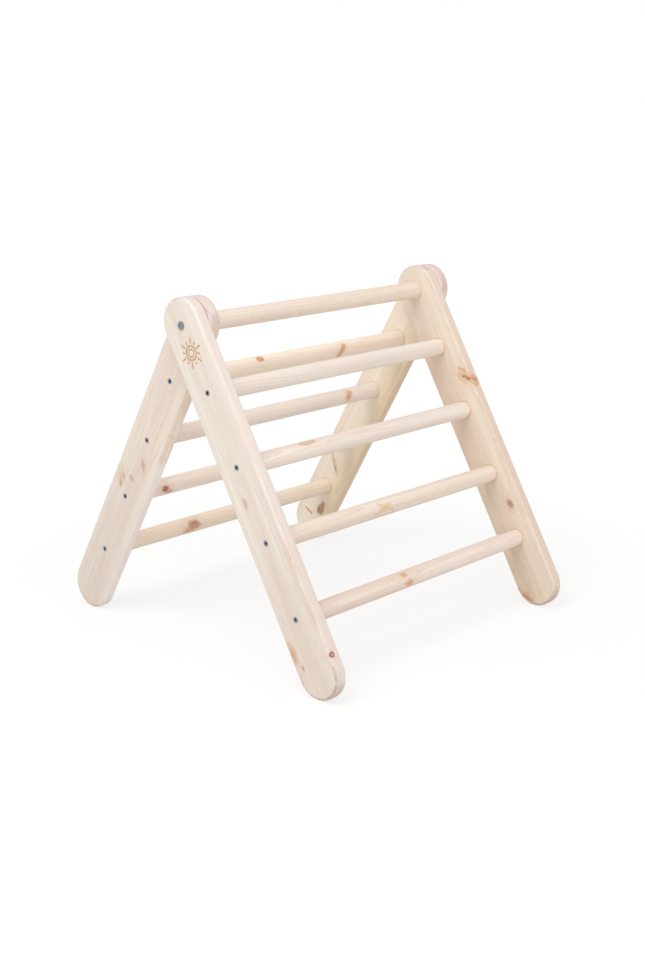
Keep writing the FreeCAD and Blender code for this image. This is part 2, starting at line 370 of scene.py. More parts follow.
def build_push(net, ins):
    """How far a knot pushes the rings aside."""
    _, rho = branch_distance(net, ins)
    return {"Push": net.math("EXPONENT", rho * rho * -0.16) * ins["Radius"] * ins["Swell"]}


def build_knot(net, ins):
    """A knot's ragged outline and the noises that colour it."""
    away, rho = branch_distance(net, ins)
    unit = net.scaled(away, 1.0 / ins["Radius"].socket if False else
                      net.math("DIVIDE", 1.0, ins["Radius"]))
    seed = ins["Seed"]
    edge = net.noise(net.vmath("MULTIPLY_ADD", unit, (0.95, 0.95, 0.7),
                               net.vec(seed, 0.3, 0.6)), 3.0, 0.62) - 0.5
    blot = net.noise(net.vmath("MULTIPLY_ADD", unit, (2.3, 2.3, 1.5),
                               net.vec(0.0, seed, 0.0)), 3.0, 0.7)
    outward = net.vmath("DOT_PRODUCT", ins["P"], ins["Side"]) + ins["Through"]
    side = net.smooth(-3.0, 2.0, outward)
    return {"Rho": rho * (edge * ins["Ragged"] + 1.0), "Edge": edge, "Blot": blot, "Side": side}


BRANCH = {"P": VECTOR, "At": VECTOR, "Branch": VECTOR,
          "Radius": FLOAT, "Up": FLOAT, "Down": FLOAT, "Reach": FLOAT}
push_group = make_group("knot push", dict(BRANCH, Swell=FLOAT), {"Push": FLOAT}, build_push)
knot_group = make_group(
    "knot shape", dict(BRANCH, Ragged=FLOAT, Seed=FLOAT, Side=VECTOR, Through=FLOAT),
    dict.fromkeys(("Rho", "Edge", "Blot", "Side"), FLOAT), build_knot)


def build_paint(net, ins):
    """Lays one knot over the wood."""
    rho, blot, side, dark, soft = (ins[key] for key in ("Rho", "Blot", "Side", "Dark", "Soft"))
    mid, deep = ins["Mid"], ins["Deep"]
    halo = net.math("EXPONENT", rho * rho * -0.34) * ins["Halo"] * side
    body = net.smooth(0.0, 1.0, (soft * 0.30 + 1.04 - rho) / (soft * 1.10 + 0.14))
    body = body * ins["Solid"] * side
    rim = net.math("EXPONENT", (rho - 0.93) * (rho - 0.93) * -48.0)
    rim = rim * net.smooth(0.36, 0.60, blot, 0.15, 1.0) * ins["Rim"] * side
    curl = net.math("SINE", rho * 12.0 + ins["Edge"] * 14.0) * 0.5 + 0.5
    spots = net.smooth(0.0, 0.18, blot - 0.62 + dark * 0.30) * (dark * 0.60 + 0.30)
    heart = net.mix(curl * 0.22, mid, deep)
    heart = net.mix(spots, heart, deep)
    heart = net.mix(net.smooth(0.48, 0.20, rho) * ins["Pale"], heart, srgb(226, 200, 188))
    col = net.mix(halo, ins["Color"], net.mix(0.45, ins["Color"], mid))
    col = net.mix(body, col, heart)
    col = net.mix(rim, col, deep)
    return {"Color": col, "Roughness": ins["Roughness"] - body * 0.12}


paint_group = make_group(
    "knot colour",
    {"Color": COLOUR, **dict.fromkeys(("Roughness", "Rho", "Edge", "Blot", "Side"), FLOAT),
     "Mid": COLOUR, "Deep": COLOUR,
     **dict.fromkeys(("Dark", "Soft", "Solid", "Rim", "Halo", "Pale"), FLOAT)},
    {"Color": COLOUR, "Roughness": FLOAT}, build_paint)


def build_streak(net, ins):
    """One darker line along the grain."""
    _, y, z = net.split(ins["P"])
    mid = (ins["Low"] + ins["High"]) * 0.5
    off = y - ins["B"] - (z - mid) * ins["Slope"] + (ins["Wobble"] - 0.5) * ins["Wave"]
    line = net.math("EXPONENT", off * off * -1.0 / (ins["Width"] * ins["Width"]))
    line = line * net.smooth(-8.0, 10.0, z - ins["Low"])
    line = line * net.smooth(-8.0, 10.0, ins["High"] - z)
    line = line * net.smooth(0.32, 0.62, ins["Dash"], 0.3, 1.0) * ins["Strength"]
    return {"Color": net.mix(line, ins["Color"], ins["Line"])}


streak_group = make_group(
    "grain streak",
    {"Color": COLOUR, "P": VECTOR, **dict.fromkeys(
        ("B", "Low", "High", "Width", "Slope", "Wave", "Strength", "Wobble", "Dash"), FLOAT),
     "Line": COLOUR},
    {"Color": COLOUR}, build_streak)


# ---------------------------------------------------------------- pine: knots and streaks
# Each knot tone: its middle colour and its deep colour.
TONES = {
    "red": (srgb(204, 146, 112), srgb(138, 66, 38)),
    "rust": (srgb(231, 176, 128), srgb(178, 98, 56)),
    "ochre": (srgb(229, 203, 156), srgb(190, 152, 96)),
    "pink": (srgb(228, 190, 164), srgb(176, 118, 90)),
    "brown": (srgb(207, 162, 132), srgb(156, 98, 70)),
    "dull": (srgb(206, 158, 136), srgb(162, 108, 88)),
    "clay": (srgb(224, 170, 128), srgb(186, 116, 72)),
    "ember": (srgb(200, 134, 96), srgb(130, 62, 36)),
    "tan": (srgb(234, 206, 172), srgb(216, 176, 132)),
    "bark": (srgb(202, 144, 112), srgb(140, 84, 58)),
    "umber": (srgb(200, 155, 112), srgb(156, 106, 66)),
}


class Knot(NamedTuple):
    at: tuple                   # a point on the branch
    radius: float
    tone: str                   # key in TONES
    dark: float                 # strength of the dark spots
    long: object                # stretch along the grain, or (up, down)
    branch: tuple = (1, 0, 0)   # the branch's direction
    soft: float = 0.35          # width of the body's fading edge
    solid: float = 0.8          # strength of the body
    rim: float = 0.3            # strength of the dark outline
    halo: float = 0.35          # strength of the stain round it
    ragged: float = 0.8         # unevenness of the outline
    swell: float = 0.9          # how far it pushes the rings aside
    reach: float = 10000.0      # length of the branch each way from at
    pale: float = 0.0           # paleness of the centre
    side: tuple = None          # the only side it shows on; all sides if None


class Streak(NamedTuple):
    y: float
    low: float                  # lower and upper end along the grain
    high: float
    width: float
    strength: float
    colour: tuple = srgb(206, 172, 124)
    slope: float = 0.0
    wave: float = 3.0           # how far it wanders sideways


def branch_inputs(knot, point, apart=0.0):
    # The renderer would share two equal sums and hold them in memory, so apart sets the
    # push group's copy a hair off.
    up, down = knot.long if isinstance(knot.long, tuple) else (knot.long, knot.long)
    return dict(P=point, At=tuple(value + apart for value in knot.at),
                Branch=tuple(Vector(knot.branch).normalized()),
                Radius=knot.radius + apart, Up=up, Down=down, Reach=knot.reach)


def lay_wood(net, point, end, *, rings, seed, pinkness, contrast, bands=1.0,
             band=(0.0, 10.0, 0.0), knots=(), streaks=()):
    """Grain, streaks and knots; returns colour, roughness and height.

    rings is (pith x, pith y, ring spacing, taper of the trunk), with the pith beside the piece.
    bands is the strength of the bands on the end grain. band is the middle y, half width and
    strength of a browner band along the piece.
    """
    push = 0.0
    for knot in knots:
        if knot.swell > 0.15:
            push = push + net.call(push_group, Swell=knot.swell,
                                   **branch_inputs(knot, point, apart=0.001))["Push"]

    wood = net.call(grain_group, P=point, Seed=seed, Push=push, End=end, Bands=bands,
                    Pinkness=pinkness, Contrast=contrast,
                    **dict(zip(("Pith A", "Pith B", "Spacing", "Taper"), rings)),
                    **dict(zip(("Band B", "Band Half", "Band"), band)))
    col, rough = wood["Color"], wood["Roughness"]

    for streak in streaks:
        col = net.call(streak_group, Color=col, P=point, B=streak.y, Low=streak.low,
                       High=streak.high, Width=streak.width, Slope=streak.slope,
                       Wave=streak.wave, Strength=streak.strength, Wobble=wood["Wobble"],
                       Dash=wood["Dash"], Line=streak.colour)["Color"]

    for i, knot in enumerate(knots):
        shape = net.call(knot_group, Ragged=knot.ragged, Seed=seed + i * 3.3,
                         Side=knot.side or (0.0, 0.0, 0.0),
                         Through=0.0 if knot.side else 100.0, **branch_inputs(knot, point))
        mid, deep = TONES[knot.tone]
        painted = net.call(paint_group, Color=col, Roughness=rough, **shape, Mid=mid, Deep=deep,
                           Dark=knot.dark, Soft=knot.soft, Solid=knot.solid, Rim=knot.rim,
                           Halo=knot.halo, Pale=knot.pale)
        col, rough = painted["Color"], painted["Roughness"]
    return col, rough, wood["Height"]


def finish_pine(net, z, tints, col, rough, height):
    """Tints the piece along its length, partly painted light, and connects the surface."""
    # Painted light in part: the tint along the length makes the piece lighter where more light
    # falls.
    col = net.multiply(col, net.gradient(z, *tints))
    limited = net.math("MINIMUM", net.math("MAXIMUM", rough, 0.25), 0.9)
    net.surface({"Base Color": col, "Roughness": limited, "Specular IOR Level": 0.35})
    net.bump(height, strength=0.35, distance=0.00025)
    return net.material


# ---------------------------------------------------------------- pine: rails
SUN_Y, SUN_DROP = 1.0, 43.0     # the sun's centre, the second below the pivot
SUN_RAYS = 12
SUN_RING_R, SUN_CORE_R = 10.4, 5.6


def sun_lines(net, x, y, z):
    """A small sun, two rings and twelve rays, on the outer face: the burn and its scorch."""
    waver = y - SUN_Y + (net.noise(net.vec(y * 0.12, z * 0.12, 4.0), 1.0) - 0.5) * 0.8
    rise = z + SUN_DROP
    rad = net.math("SQRT", waver * waver + rise * rise)
    turn = net.math("ARCTAN2", waver, rise) * (SUN_RAYS / (2.0 * math.pi)) + 24.25
    cell = net.math("ABSOLUTE", net.math("FRACT", turn) - 0.5)
    ray_off = cell * rad * (2.0 * math.pi / SUN_RAYS)
    # Every other ray is longer.
    odd = net.math("GREATER_THAN", net.math("FRACT", turn * 0.5), 0.5)
    reach = odd * 4.5 + 18.5

    def line(off, width):
        return (net.smooth(width, width * 0.45, off),
                net.smooth(width * 2.4, width * 0.6, off))

    ring, ring_scorch = line(net.math("ABSOLUTE", rad - SUN_RING_R), 1.45)
    core, core_scorch = line(net.math("ABSOLUTE", rad - SUN_CORE_R), 1.1)
    rays, rays_scorch = line(ray_off, 1.3)
    span = net.smooth(13.4, 14.4, rad) * net.smooth(0.6, -0.6, rad - reach)
    burn = net.math("MAXIMUM", net.math("MAXIMUM", ring, core), rays * span)
    scorch = net.math("MAXIMUM", net.math("MAXIMUM", ring_scorch, core_scorch * 0.8),
                      rays_scorch * span)
    face = net.smooth(0.9, 0.3, x + OUTER_X)
    uneven = net.noise(net.vec(x * 0.2, y * 0.2, z * 0.2), 2.0)
    depth = net.smooth(0.30, 0.60, uneven, 0.7, 1.0)
    return burn * face * depth, scorch * face


def burn_sun(net, point, col, rough, height):
    x, y, z = net.axes
    burn, scorch = sun_lines(net, x, y, z)
    burnt = net.mix(net.noise_mm(point, (1.2, 1.2, 1.2)), srgb(206, 156, 90), srgb(164, 110, 54))
    col = net.mix(scorch * 0.45, col, srgb(222, 190, 144))
    col = net.mix(burn * 0.92, col, burnt)
    return col, rough + burn * 0.15, height - burn * 2.5


def from_middle(net, y, z):
    """How far z is past the straight sides, and the distance from the rail's middle line."""
    past = net.math("MAXIMUM", z - HEAD_Z, 0.0) + net.math("MAXIMUM", FOOT_Z - z, 0.0)
    return past, net.math("SQRT", y * y + past * past)


def wear_edges(net, point, seed, off_x, inside, col, rough):
    """The rounded edges are a little paler and smoother than the faces."""
    worn = net.smooth(5.5, 1.0, inside)
    worn = worn * net.smooth(HALF_T - 4.5, HALF_T - 0.3, net.math("ABSOLUTE", off_x()))
    patches = net.noise_mm(point, (6, 6, 14), (seed, 7.7, 0.0))
    worn = worn * net.smooth(0.3, 0.75, patches, 0.35, 1.0)
    return net.mix(worn * 0.08, col, srgb(250, 241, 228)), rough - worn * 0.08


def paint_arris_shade(net, point, seed, off_x, inside, arris, col):
    """Painted shade on given stretches of the rounded edges, such as where the end grain begins at
    a foot.
    """
    _, y, z = net.axes
    for sign_x, sign_y, low, high, strength in arris:
        line = net.smooth(5.4, 3.0, inside) * net.smooth(0.2, 1.6, inside)
        line = line * net.smooth(HALF_T - 4.2, HALF_T - 1.6, off_x() * sign_x)
        line = line * net.smooth(0.0, 4.0, y * sign_y)
        line = line * net.smooth(low - 8.0, low + 14.0, z) * net.smooth(high + 14.0, high - 8.0, z)
        patches = net.noise_mm(point, (3, 3, 7), (seed, 6.6, 0.0))
        line = line * net.smooth(0.35, 0.62, patches, 0.25, 1.0)
        # Painted shade: the round-over is darker along this stretch.
        col = net.mix(line * strength, col, srgb(172, 142, 110))
    return col


def tint_joint_rings(net, point, seed, inner_x, col, rough):
    """A yellowish, slightly smoother ring round each rung's joint on the inner face."""
    x, y, z = net.axes
    pitch = net.math("FRACT", (z * -1.0 - FIRST_RUNG) * (1.0 / RUNG_PITCH) + 0.5)
    step = pitch * RUNG_PITCH - RUNG_PITCH / 2.0
    joint = net.math("SQRT", y * y + step * step) - RUNG_R
    joint_ring = net.smooth(3.4, 0.2, joint)
    joint_ring = joint_ring * net.smooth(1.5, 0.2, net.math("ABSOLUTE", x - inner_x))
    joint_ring = joint_ring * net.smooth(-46.0, -50.0, z) * net.smooth(-520.0, -512.0, z)
    patches = net.noise_mm(point, (5, 5, 5), (seed, 1.2, 0.0))
    joint_ring = joint_ring * net.smooth(0.3, 0.7, patches, 0.35, 1.0)
    return net.mix(joint_ring * 0.38, col, srgb(206, 170, 122)), rough - joint_ring * 0.1


def darken_foot_bottoms(net, point, seed, inside, end, col):
    """The bottom of each foot is darker: faint darker patches on the rounded edges,
    and painted shade on the end grain of the underside.
    """
    z = net.axes[2]
    foot_patches = net.smooth(14.0, 1.0, inside) * net.smooth(FOOT_Z - 14.0, FOOT_Z - 38.0, z)
    patches = net.noise_mm(point, (5, 5, 5), (seed, 9.1, 0.0), 3.0)
    foot_patches = foot_patches * net.smooth(0.46, 0.70, patches)
    col = net.mix(foot_patches * 0.14, col, srgb(176, 152, 132))
    # Painted shade on the end grain of the foot's underside.
    underside_shade = end * net.smooth(FOOT_Z - 14.0, FOOT_Z - 34.0, z) * 0.40
    return net.mix(underside_shade, col, srgb(190, 164, 144))


def paint_bolt_shade(net, point, seed, face_x, col):
    """Painted shade: a thin darker ring in the wood round the bolt's head, where the head shades
    it.
    """
    x, y, z = net.axes
    away = net.math("SQRT", y * y + z * z)
    uneven = (net.noise_mm(point, (2.5, 2.5, 2.5), (seed, 4.0, 0.0)) - 0.5) * 1.6
    ring = net.smooth(8.0, 6.2, away + uneven)
    ring = ring * net.smooth(1.2, 0.3, net.math("ABSOLUTE", x - face_x))
    return net.mix(ring * 0.55, col, srgb(126, 112, 102))


def rail_pine(name, ladder, side, middle_x, *, seed, tints, end_tint, head_tint,
              edge_tint=(0.93, 0.885, 0.875), arris=(), sun=False, bolt_face=None, across=None,
              **wood):
    """Pine for a rail, in its own axes: x across the row, y over its width, z up from the pivot.

    tints and across are (start, end, low tint, high tint) along z and over y. tints are the wood's
    tone and partly painted light, mostly lighter towards the top. across is painted shade, darker
    on one side of the rail lower down. end_tint is for the head's end grain. head_tint for the
    head's sides and edge_tint for the narrow edges are partly painted light on those sides.
    """
    net = Material(name)
    tilt = math.radians(-TILT[ladder])
    rotation = (tilt, 0.0, 0.0)
    pivot = Matrix.Rotation(tilt, 3, "X") @ Vector((0, 0, PIVOT_Z))
    point = net.point(rotation, tuple(-pivot))
    _, normal_y, normal_z = net.split(net.normal(rotation))
    net.axes = x, y, z = net.split(point)

    def off_x():
        return x - middle_x

    facing = net.smooth(-4.0, 6.0, z, 0.0, 0.16) + net.math("ABSOLUTE", normal_z)
    end = net.smooth(0.42, 0.92, facing)
    # The round-over on a half-round end is end grain too.
    past, out = from_middle(net, y, z)
    round_end = net.smooth(0.42, 0.92, past / net.math("MAXIMUM", out, 1.0))
    round_end = round_end * net.smooth(4.4, 2.0, RAIL_R - out)
    end = net.math("MAXIMUM", end, round_end)

    col, rough, height = lay_wood(net, point, end, seed=seed, **wood)

    inside = RAIL_R - from_middle(net, y, z)[1]
    # The narrow sides are tinted per rail: partly painted light, lightening or darkening them as
    # light falls.
    side_tint = net.gradient(z, -14.0, 4.0, edge_tint, head_tint)
    col = net.tinted(net.smooth(0.5, 0.9, net.math("ABSOLUTE", normal_y)), col, side_tint)
    col = net.tinted(end * net.smooth(4.0, 14.0, z), col, (*end_tint, 1.0))
    col, rough = wear_edges(net, point, seed, off_x, inside, col, rough)
    col = paint_arris_shade(net, point, seed, off_x, inside, arris, col)
    col, rough = tint_joint_rings(net, point, seed, middle_x - side * HALF_T, col, rough)
    col = darken_foot_bottoms(net, point, seed, inside, end, col)
    if sun:
        col, rough, height = burn_sun(net, point, col, rough, height)
    # Painted shade round the pivot bolt's head.
    if bolt_face is not None:
        col = paint_bolt_shade(net, point, seed, bolt_face, col)
    # Painted shade over the rail's width, darker on one side, lower down the rail.
    if across is not None:
        col = net.tinted(net.smooth(-40.0, -120.0, z), col, net.gradient(y, *across))
    return finish_pine(net, z, tints, col, rough, height)


# ---------------------------------------------------------------- metal
RECESS_DEPTH = 0.9      # below the outer face, where the screw heads' recesses get painted shade


def zinc(name, face_x=None):
    """Blue zinc plate, with painted shade in the recesses below the face at face_x if that is
    given.
    """
    net = Material(name)
    point = net.point()
    cloud = net.noise_mm(point, (2.8, 2.8, 2.8), detail=3.0, rough=0.6)
    grain = net.noise_mm(point, (0.5, 0.17, 0.17), detail=2.0, rough=0.6)
    col = net.mix(net.smooth(0.3, 0.7, cloud), srgb(136, 158, 180), srgb(176, 192, 206))
    col = net.mix(net.smooth(0.55, 0.8, grain) * 0.35, col, srgb(204, 212, 220))
    if face_x is not None:
        # Painted shade in the screw heads' sockets.
        depth = (face_x - net.split(point)[0]) * math.copysign(1.0, face_x)
        recess_shade = net.smooth(RECESS_DEPTH * 0.45, RECESS_DEPTH, depth)
        col = net.mix(recess_shade * 0.85, col, srgb(52, 62, 76))
    net.surface({"Base Color": col, "Metallic": 1.0,
                 "Roughness": (cloud - 0.5) * 0.25 + (grain - 0.5) * 0.2 + 0.36})
    net.bump(grain, strength=0.2, distance=0.00005)
    return net.material


def brass(name):
    net = Material(name)
    turn = net.noise_mm(net.point(), (0.11, 1.7, 1.7))
    net.surface({"Base Color": net.mix(turn, srgb(186, 150, 84), srgb(214, 184, 120)),
                 "Metallic": 1.0, "Roughness": turn * 0.25 + 0.25})
    net.bump(turn, strength=0.2, distance=0.00004)
    return net.material


# ---------------------------------------------------------------- mesh helpers
def add_mesh(name, verts, faces, smooth=True):
    """Adds an object with its faces turned outward."""
    mesh = bpy.data.meshes.new(name)
    mesh.from_pydata(verts, [], faces)
    mesh.update()
    made = bpy.data.objects.new(name, mesh)
    scene.collection.objects.link(made)
    if smooth:
        shade_smooth(mesh)
    work = bmesh.new()
    work.from_mesh(mesh)
    bmesh.ops.recalc_face_normals(work, faces=work.faces)
    work.to_mesh(mesh)
    work.free()
    return made


def shade_smooth(mesh):
    for face in mesh.polygons:
        face.use_smooth = True


def bridge(first, second):
    """Quads between two closed loops of vertex indices."""
    count = len(first)
    return [(first[i], first[(i + 1) % count], second[(i + 1) % count], second[i])
            for i in range(count)]


def ladder_transform(tilt):
    """A ladder's own axes in mm, with the pivot at 0, to the whole frame in metres."""
    return (Matrix.Translation((0, 0, PIVOT_Z / 1000.0))
            @ Matrix.Rotation(math.radians(tilt), 4, "X") @ Matrix.Scale(0.001, 4))


def set_material(piece, material):
    piece.data.materials.clear()
    piece.data.materials.append(material)


# ---------------------------------------------------------------- rail meshes
ARC_STEPS = 40      # round each half-round end
SIDE_STEPS = 90     # down each straight side
FILL_STEPS = 14     # across a flat face
ROUND_STEPS = 7     # over a rounded edge
SANDING = 0.10      # how far hand sanding eats into the outline at most


def stadium(radius):
    """Outline (y, z): down the -y side, round the foot, up the +y side, round the head."""
    drop = FOOT_Z - HEAD_Z
    turns = [math.pi * i / ARC_STEPS for i in range(ARC_STEPS)]
    points = [(-radius, HEAD_Z + drop * i / SIDE_STEPS) for i in range(SIDE_STEPS)]
    points += [(-radius * math.cos(turn), FOOT_Z - radius * math.sin(turn)) for turn in turns]
    points += [(radius, FOOT_Z - drop * i / SIDE_STEPS) for i in range(SIDE_STEPS)]
    points += [(radius * math.cos(turn), HEAD_Z + radius * math.sin(turn)) for turn in turns]
    return points


def fill_flat(verts, start):
    """Fills the outline that begins at start with rows of quads from the -y to the +y side."""
    left = range(start, start + SIDE_STEPS)
    foot = range(left.stop, left.stop + ARC_STEPS)
    right = range(foot.stop, foot.stop + SIDE_STEPS)
    head = range(right.stop, right.stop + ARC_STEPS)
    half = ARC_STEPS // 2
    rows = [(head[ARC_STEPS - i], head[i]) for i in range(half - 1, 0, -1)]
    rows += [(left[0], head[0])]
    rows += [(left[i], right[SIDE_STEPS - i]) for i in range(1, SIDE_STEPS)]
    rows += [(foot[0], right[0])]
    rows += [(foot[i], foot[ARC_STEPS - i]) for i in range(1, half)]
    grid = []
    for first, last in rows:
        line = [first]
        from_point, to_point = Vector(verts[first]), Vector(verts[last])
        for k in range(1, FILL_STEPS):
            verts.append(tuple(from_point.lerp(to_point, k / FILL_STEPS)))
            line.append(len(verts) - 1)
        grid.append(line + [last])
    faces = []
    for upper, lower in zip(grid, grid[1:]):
        for k in range(FILL_STEPS):
            faces.append((upper[k], upper[k + 1], lower[k + 1], lower[k]))
    for k in range(FILL_STEPS):
        faces.append((head[half], grid[0][k + 1], grid[0][k]))
        faces.append((foot[half], grid[-1][k], grid[-1][k + 1]))
    return faces


def rail_solid(x_low, x_high, seed):
    """The board before its holes: a stadium with rounded long edges."""
    low_levels = []
    for k in range(ROUND_STEPS + 1):
        turn = math.radians(90.0 * k / ROUND_STEPS)
        low_levels.append((x_low + EDGE_R * (1 - math.cos(turn)),
                           RAIL_R - EDGE_R * (1 - math.sin(turn))))
    high_levels = [(x_high - (x - x_low), radius) for x, radius in low_levels[::-1]]
    middles = [(x_low + EDGE_R + (RAIL_T - 2 * EDGE_R) * part, RAIL_R) for part in (0.33, 0.66)]
    levels = low_levels + middles + high_levels
    verts = []
    for x, radius in levels:
        for y, z in stadium(radius):
            # Sanding only ever takes the edge inside the nominal outline.
            uneven = noise.noise(Vector((y * 0.018 + seed, z * 0.009, 7.3)))
            shrink = 1.0 - SANDING * (0.5 + 0.5 * uneven) / RAIL_R
            centre = min(max(z, FOOT_Z), HEAD_Z)
            verts.append((x, y * shrink, centre + (z - centre) * shrink))
    count = 2 * (ARC_STEPS + SIDE_STEPS)
    loops = [range(j * count, (j + 1) * count) for j in range(len(levels))]
    faces = []
    for first, second in zip(loops, loops[1:]):
        faces += bridge(first, second)
    faces += fill_flat(verts, loops[0].start)
    faces += [face[::-1] for face in fill_flat(verts, loops[-1].start)]
    return verts, faces


# Holes as (depth from the outer face, radius), closed on the axis at both ends.
PIVOT_HOLE = [(-1, 0), (-1, 3.08), (RAIL_T + 1, 3.08), (RAIL_T + 1, 0)]
SOCKET_BOTTOM = RAIL_T - SOCKET_DEPTH
# Countersink, shank hole, then the rung's socket with a softened mouth.
RUNG_JOINT = [
    (-1, 0), (-1, 4.75), (0.02, 4.75), (0.25, 4.6), (0.5, 4.6), (2.55, 2.55),
    (SOCKET_BOTTOM, 2.55), (SOCKET_BOTTOM, RUNG_R + 0.05), (RAIL_T - 0.5, RUNG_R + 0.05),
    (RAIL_T - 0.02, RUNG_R + 0.45), (RAIL_T + 1, RUNG_R + 0.45), (RAIL_T + 1, 0)]


def hole_solid(profile, centre_z, segments):
    """Closed solid of revolution about x; profile is (x, radius), 0 at both ends."""
    verts, faces, rows = [], [], []
    for x, radius in profile[1:-1]:
        rows.append(range(len(verts), len(verts) + segments))
        for i in range(segments):
            turn = 2 * math.pi * i / segments
            verts.append((x, radius * math.cos(turn), centre_z + radius * math.sin(turn)))
    for first, second in zip(rows, rows[1:]):
        faces += bridge(first, second)
    start, end = len(verts), len(verts) + 1
    verts += [(profile[0][0], 0.0, centre_z), (profile[-1][0], 0.0, centre_z)]
    for i in range(segments):
        following = (i + 1) % segments
        faces.append((start, following, i))
        faces.append((end, rows[-1][i], rows[-1][following]))
    return verts, faces


def make_cutter(node, side, outer_x):
    """All of a rail's holes as one mesh."""
    holes = [(PIVOT_HOLE, 0.0, 48)] + [(RUNG_JOINT, -drop, 72) for drop in RUNG_DROPS]
    verts, faces = [], []
    for profile, z, segments in holes:
        placed = [(outer_x - side * depth, radius) for depth, radius in profile]
        hole_verts, hole_faces = hole_solid(placed, z, segments)
        start = len(verts)
        verts += hole_verts
        faces += [tuple(i + start for i in face) for face in hole_faces]
    return add_mesh(node + "_cutter", verts, faces, smooth=False)


def cut_holes(board, cutter):
    """The board's mesh with the cutter taken away."""
    plain_count = len(board.data.polygons)
    # The exact solver takes over where the manifold one leaves the board uncut.
    for solver in ("MANIFOLD", "EXACT"):
        cut = board.modifiers.new("holes", "BOOLEAN")
        cut.operation = "DIFFERENCE"
        cut.solver = solver
        cut.object = cutter
        graph = bpy.context.evaluated_depsgraph_get()
        mesh = bpy.data.meshes.new_from_object(board.evaluated_get(graph), depsgraph=graph)
        board.modifiers.clear()
        if len(mesh.polygons) > plain_count + 400:
            break
    return mesh


def make_rail(node, side, ladder, seed):
    """A rail: board, pivot hole, four countersunk screw holes and four rung sockets."""
    low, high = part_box(node)
    x_low, x_high = low.x * 1000.0, high.x * 1000.0
    board = add_mesh(node + "_board", *rail_solid(x_low, x_high, seed))
    cutter = make_cutter(node, side, x_low if side < 0 else x_high)
    mesh = cut_holes(board, cutter)
    board.data = mesh
    bpy.data.objects.remove(cutter)
    mesh.transform(ladder_transform(TILT[ladder]))
    mesh.name = node + "_board"
    shade_smooth(mesh)
    mesh.set_sharp_from_angle(angle=math.radians(38))
    weighted = board.modifiers.new("weighted", "WEIGHTED_NORMAL")
    weighted.keep_sharp = True
    weighted.mode = "FACE_AREA"
    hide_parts(node)
    return board


# ---------------------------------------------------------------- rung meshes
RUNG_SEGMENTS = 80
RUNG_STEPS = 96
# Holes in the ends and the eased edge, as (depth from the end, radius).
INSERT_BORE = [(29.0, 0), (29.0, 3.5), (25.0, 3.5), (25.0, 5.02), (0.0, 5.02)]
SCREW_BORE = [(49.2, 0), (49.2, 2.52), (0.0, 2.52)]
EASED_EDGE = [(0.0, RUNG_R - 1.0), (0.12, RUNG_R - 0.62), (0.4, RUNG_R - 0.26),
              (1.0, RUNG_R - 0.02)]


def dowel_solid(profile, seed):
    """Solid of revolution about x from (x, radius), its full-width part a hair out of true."""
    verts, faces, rows = [], [], []
    for x, radius in profile:
        start = len(verts)
        if radius == 0:
            verts.append((x, 0.0, 0.0))
        else:
            for i in range(RUNG_SEGMENTS):
                turn = 2 * math.pi * i / RUNG_SEGMENTS
                cos, sin = math.cos(turn), math.sin(turn)
                true_radius = radius
                if radius >= RUNG_R - 0.01:
                    uneven = noise.noise(Vector((x * 0.012 + seed * 3.1, cos * 0.8,
                                                 sin * 0.8 + seed)))
                    true_radius = radius - 0.09 * (0.5 + 0.5 * uneven)
                verts.append((x, true_radius * cos, true_radius * sin))
        rows.append(range(start, len(verts)))
    for first, second in zip(rows, rows[1:]):
        if len(first) == 1:
            faces += [(first[0], second[(i + 1) % RUNG_SEGMENTS], second[i])
                      for i in range(RUNG_SEGMENTS)]
        elif len(second) == 1:
            faces += [(first[i], first[(i + 1) % RUNG_SEGMENTS], second[0])
                      for i in range(RUNG_SEGMENTS)]
        else:
            faces += bridge(first, second)
    return verts, faces


def make_rung(node, tilt, drop, seed):
    """A dowel with bored, eased ends."""
    low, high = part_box(node)
    x_low, x_high = low.x * 1000.0, high.x * 1000.0
    end = (INSERT_BORE if node == "top_rung" else SCREW_BORE) + EASED_EDGE
    length = x_high - x_low
    profile = [(x_low + depth, radius) for depth, radius in end]
    profile += [(x_low + 4.0 + (length - 8.0) * k / RUNG_STEPS, RUNG_R)
                for k in range(RUNG_STEPS + 1)]
    profile += [(x_high - depth, radius) for depth, radius in end[::-1]]
    dowel = add_mesh(node + "_dowel", *dowel_solid(profile, seed))
    dowel.data.transform(ladder_transform(tilt) @ Matrix.Translation((0, 0, -drop)))
    dowel.data.set_sharp_from_angle(angle=math.radians(50))
    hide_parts(node)
    return dowel


# ---------------------------------------------------------------- rails
# node, side (-1 is left), ladder, middle x, seed of the sanded outline
RAILS = [
    ("front_left_rail", -1, "front", -OUTER_MID, 1.3),
    ("front_right_rail", 1, "front", INNER_MID, 4.9),
    ("rear_left_rail", -1, "rear", -INNER_MID, 8.2),
    ("rear_right_rail", 1, "rear", OUTER_MID, 12.7),
]
